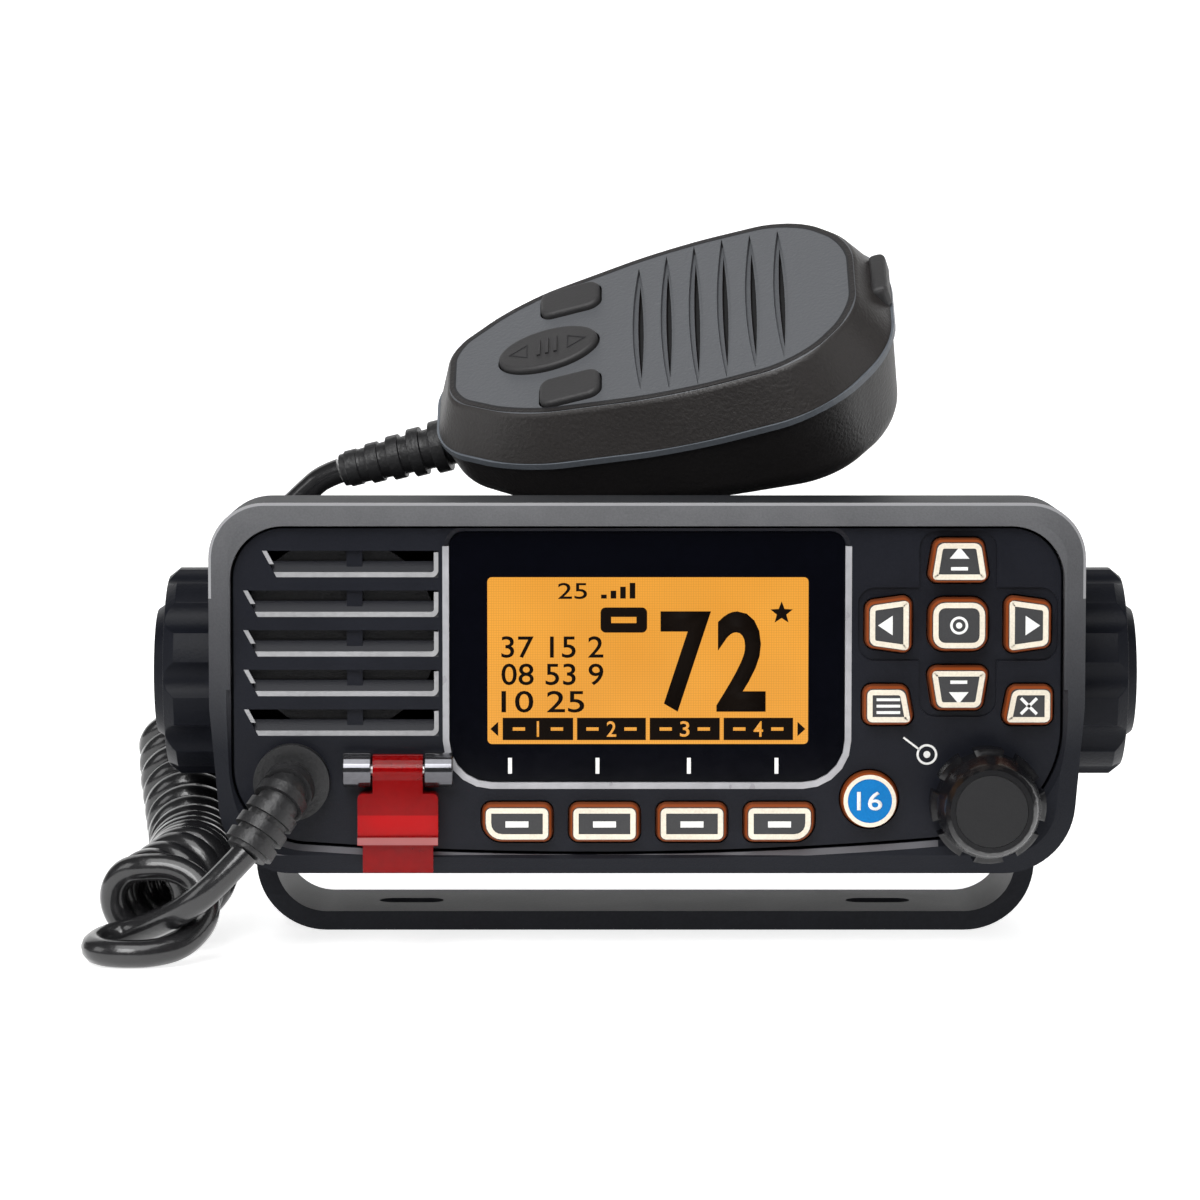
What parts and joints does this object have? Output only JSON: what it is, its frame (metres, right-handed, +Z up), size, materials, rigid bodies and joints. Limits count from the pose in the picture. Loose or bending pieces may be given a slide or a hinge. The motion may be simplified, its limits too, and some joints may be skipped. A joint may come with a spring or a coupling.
{
  "type": "marine radio",
  "caption": "Fixed-mount VHF marine radio on a tilting U bracket with clamp knobs, keys, volume knob, flip cover, fist microphone and curly cord.",
  "frame": {"origin": "middle of the underside of the bracket's foot", "axes": "+X to the user's right along the tilt axis, +Y to the back, +Z up"},
  "size_m": [0.1919, 0.1337, 0.1302],
  "materials": {
    "frame_grey": "fine-grained dark grey moulding",
    "plate_dark": "smooth dark grey moulding",
    "window": "polished smoked window",
    "key_dark": "satin dark grey key",
    "key_blue": "blue key in a pale ring",
    "mat_rubber": "translucent silicone",
    "steel": "plain stainless steel",
    "circuit_board": "green glass-fibre board",
    "display": "amber backlight",
    "speaker_cloth": "black waterproof membrane",
    "magnet": "dark ferrite",
    "encoder_case": "black moulded case",
    "knob_black": "black satin moulding",
    "cover_red": "clear red cover",
    "button_red": "red button",
    "case_metal": "black powder coat on aluminium",
    "bracket_metal": "black powder coat on steel strip",
    "gasket_rubber": "black seal",
    "socket_metal": "bright plated socket",
    "insert_brass": "turned brass",
    "gland_plastic": "black grommet",
    "mic_face": "fine-grained mid grey moulding",
    "mic_body": "fine-grained dark grey moulding",
    "mic_rubber": "dark grey rubber key",
    "boot_rubber": "black rubber",
    "cord_jacket": "glossy black jacket"
  },
  "bodies": {
    "bracket": {"bracket": "bracket_metal"},
    "radio": {"front_panel": "frame_grey", "face_plate": "plate_dark", "keypad_mat": "mat_rubber", "key_switches": "steel", "logic_board": "circuit_board", "display_window": "window", "display_module": "display", "speaker_membrane": "speaker_cloth", "speaker_basket": "steel", "speaker_cone": "speaker_cloth", "speaker_magnet": "magnet", "encoder_body": "encoder_case", "hinge_bosses": "frame_grey", "cover_hinge_pin": "steel", "chassis": "case_metal", "panel_gasket": "gasket_rubber", "panel_screws": "steel", "main_board": "circuit_board", "antenna_socket": "socket_metal", "power_gland": "gland_plastic", "pivot_inserts": "insert_brass", "friction_pads": "gasket_rubber", "panel_cord_boot": "boot_rubber", "cord_lead_panel": "cord_jacket", "cord_coil": "cord_jacket", "cord_lead_mic": "cord_jacket"},
    "knob_left": {"bracket_knob_left": "knob_black", "knob_bolt_left": "steel"},
    "knob_right": {"bracket_knob_right": "knob_black", "knob_bolt_right": "steel"},
    "volume_plunger": {"encoder_sleeve": "steel"},
    "volume_dial": {"encoder_shaft": "steel", "volume_knob": "knob_black", "knob_cap": "knob_black"},
    "flip_cover": {"distress_cover": "cover_red"},
    "red_button": {"distress_button": "button_red"},
    "microphone": {"mic_front_shell": "mic_face", "mic_rear_shell": "mic_body", "mic_seam_gasket": "gasket_rubber", "mic_board": "circuit_board", "hanger_button": "steel", "mic_screws": "steel", "mic_cord_boot": "boot_rubber"},
    "mic_upper_key": {"mic_key_upper": "mic_rubber"},
    "mic_lower_key": {"mic_key_lower": "mic_rubber"},
    "mic_rocker_key": {"mic_rocker": "mic_rubber"},
    "talk_bar": {"ptt_button": "mic_rubber"},
    "softkey_1_cap": {"softkey_1": "key_dark"},
    "softkey_2_cap": {"softkey_2": "key_dark"},
    "softkey_3_cap": {"softkey_3": "key_dark"},
    "softkey_4_cap": {"softkey_4": "key_dark"},
    "key_enter_cap": {"key_enter": "key_dark"},
    "key_up_cap": {"key_up": "key_dark"},
    "key_down_cap": {"key_down": "key_dark"},
    "key_left_cap": {"key_left": "key_dark"},
    "key_right_cap": {"key_right": "key_dark"},
    "key_menu_cap": {"key_menu": "key_dark"},
    "key_clear_cap": {"key_clear": "key_dark"},
    "key_channel_cap": {"key_channel": "key_blue"}
  },
  "joints": [
    {"name": "bracket_tilt", "type": "hinge", "parent": "bracket", "child": "radio", "pos_m": [0, 0, 0.047], "axis": [1, 0, 0], "range_deg": [-18, 10]},
    {"name": "knob_left_turn", "type": "hinge", "parent": "radio", "child": "knob_left", "pos_m": [0, 0, 0.047], "axis": [1, 0, 0], "continuous": true},
    {"name": "knob_right_turn", "type": "hinge", "parent": "radio", "child": "knob_right", "pos_m": [0, 0, 0.047], "axis": [1, 0, 0], "continuous": true},
    {"name": "volume_push", "type": "slide", "parent": "radio", "child": "volume_plunger", "axis": [0, 1, 0], "range_m": [0, 0.0006], "stiffness_N_per_m": 200, "springref_m": -0.001},
    {"name": "volume_turn", "type": "hinge", "parent": "volume_plunger", "child": "volume_dial", "pos_m": [0.06045, -0.05, 0.0278], "axis": [0, 1, 0], "continuous": true},
    {"name": "cover_flip", "type": "hinge", "parent": "radio", "child": "flip_cover", "pos_m": [-0.04435, -0.0463, 0.0337], "axis": [-1, 0, 0], "range_deg": [0, 110], "stiffness_Nm_per_rad": 0.0005, "springref_deg": -28.65},
    {"name": "distress_press", "type": "slide", "parent": "radio", "child": "red_button", "axis": [0, 1, 0], "range_m": [0, 0.0008], "stiffness_N_per_m": 100, "springref_m": -0.001},
    {"name": "mic_lift", "type": "slide", "parent": "radio", "child": "microphone", "axis": [0, 0, 1], "range_m": [0, 0.15], "deforming": ["cord_lead_mic"]},
    {"name": "mic_upper_press", "type": "slide", "parent": "microphone", "child": "mic_upper_key", "axis": [0.2871, 0.5123, -0.8094], "range_m": [0, 0.0008], "stiffness_N_per_m": 100, "springref_m": -0.001},
    {"name": "mic_lower_press", "type": "slide", "parent": "microphone", "child": "mic_lower_key", "axis": [0.2871, 0.5123, -0.8094], "range_m": [0, 0.0008], "stiffness_N_per_m": 100, "springref_m": -0.001},
    {"name": "mic_rocker_tip", "type": "hinge", "parent": "microphone", "child": "mic_rocker_key", "pos_m": [-0.01756, 0.03661, 0.10352], "axis": [0, 0.8449, 0.5349], "range_deg": [-4, 4], "stiffness_Nm_per_rad": 0.002},
    {"name": "talk_press", "type": "slide", "parent": "microphone", "child": "talk_bar", "axis": [0, -0.8449, -0.5349], "range_m": [0, 0.001], "stiffness_N_per_m": 150, "springref_m": -0.001},
    {"name": "softkey_1_press", "type": "slide", "parent": "radio", "child": "softkey_1_cap", "axis": [0, 1, 0], "range_m": [0, 0.0008], "stiffness_N_per_m": 100, "springref_m": -0.001},
    {"name": "softkey_2_press", "type": "slide", "parent": "radio", "child": "softkey_2_cap", "axis": [0, 1, 0], "range_m": [0, 0.0008], "stiffness_N_per_m": 100, "springref_m": -0.001},
    {"name": "softkey_3_press", "type": "slide", "parent": "radio", "child": "softkey_3_cap", "axis": [0, 1, 0], "range_m": [0, 0.0008], "stiffness_N_per_m": 100, "springref_m": -0.001},
    {"name": "softkey_4_press", "type": "slide", "parent": "radio", "child": "softkey_4_cap", "axis": [0, 1, 0], "range_m": [0, 0.0008], "stiffness_N_per_m": 100, "springref_m": -0.001},
    {"name": "key_enter_press", "type": "slide", "parent": "radio", "child": "key_enter_cap", "axis": [0, 1, 0], "range_m": [0, 0.0008], "stiffness_N_per_m": 100, "springref_m": -0.001},
    {"name": "key_up_press", "type": "slide", "parent": "radio", "child": "key_up_cap", "axis": [0, 1, 0], "range_m": [0, 0.0008], "stiffness_N_per_m": 100, "springref_m": -0.001},
    {"name": "key_down_press", "type": "slide", "parent": "radio", "child": "key_down_cap", "axis": [0, 1, 0], "range_m": [0, 0.0008], "stiffness_N_per_m": 100, "springref_m": -0.001},
    {"name": "key_left_press", "type": "slide", "parent": "radio", "child": "key_left_cap", "axis": [0, 1, 0], "range_m": [0, 0.0008], "stiffness_N_per_m": 100, "springref_m": -0.001},
    {"name": "key_right_press", "type": "slide", "parent": "radio", "child": "key_right_cap", "axis": [0, 1, 0], "range_m": [0, 0.0008], "stiffness_N_per_m": 100, "springref_m": -0.001},
    {"name": "key_menu_press", "type": "slide", "parent": "radio", "child": "key_menu_cap", "axis": [0, 1, 0], "range_m": [0, 0.0008], "stiffness_N_per_m": 100, "springref_m": -0.001},
    {"name": "key_clear_press", "type": "slide", "parent": "radio", "child": "key_clear_cap", "axis": [0, 1, 0], "range_m": [0, 0.0008], "stiffness_N_per_m": 100, "springref_m": -0.001},
    {"name": "key_channel_press", "type": "slide", "parent": "radio", "child": "key_channel_cap", "axis": [0, 1, 0], "range_m": [0, 0.0008], "stiffness_N_per_m": 100, "springref_m": -0.001}
  ]
}
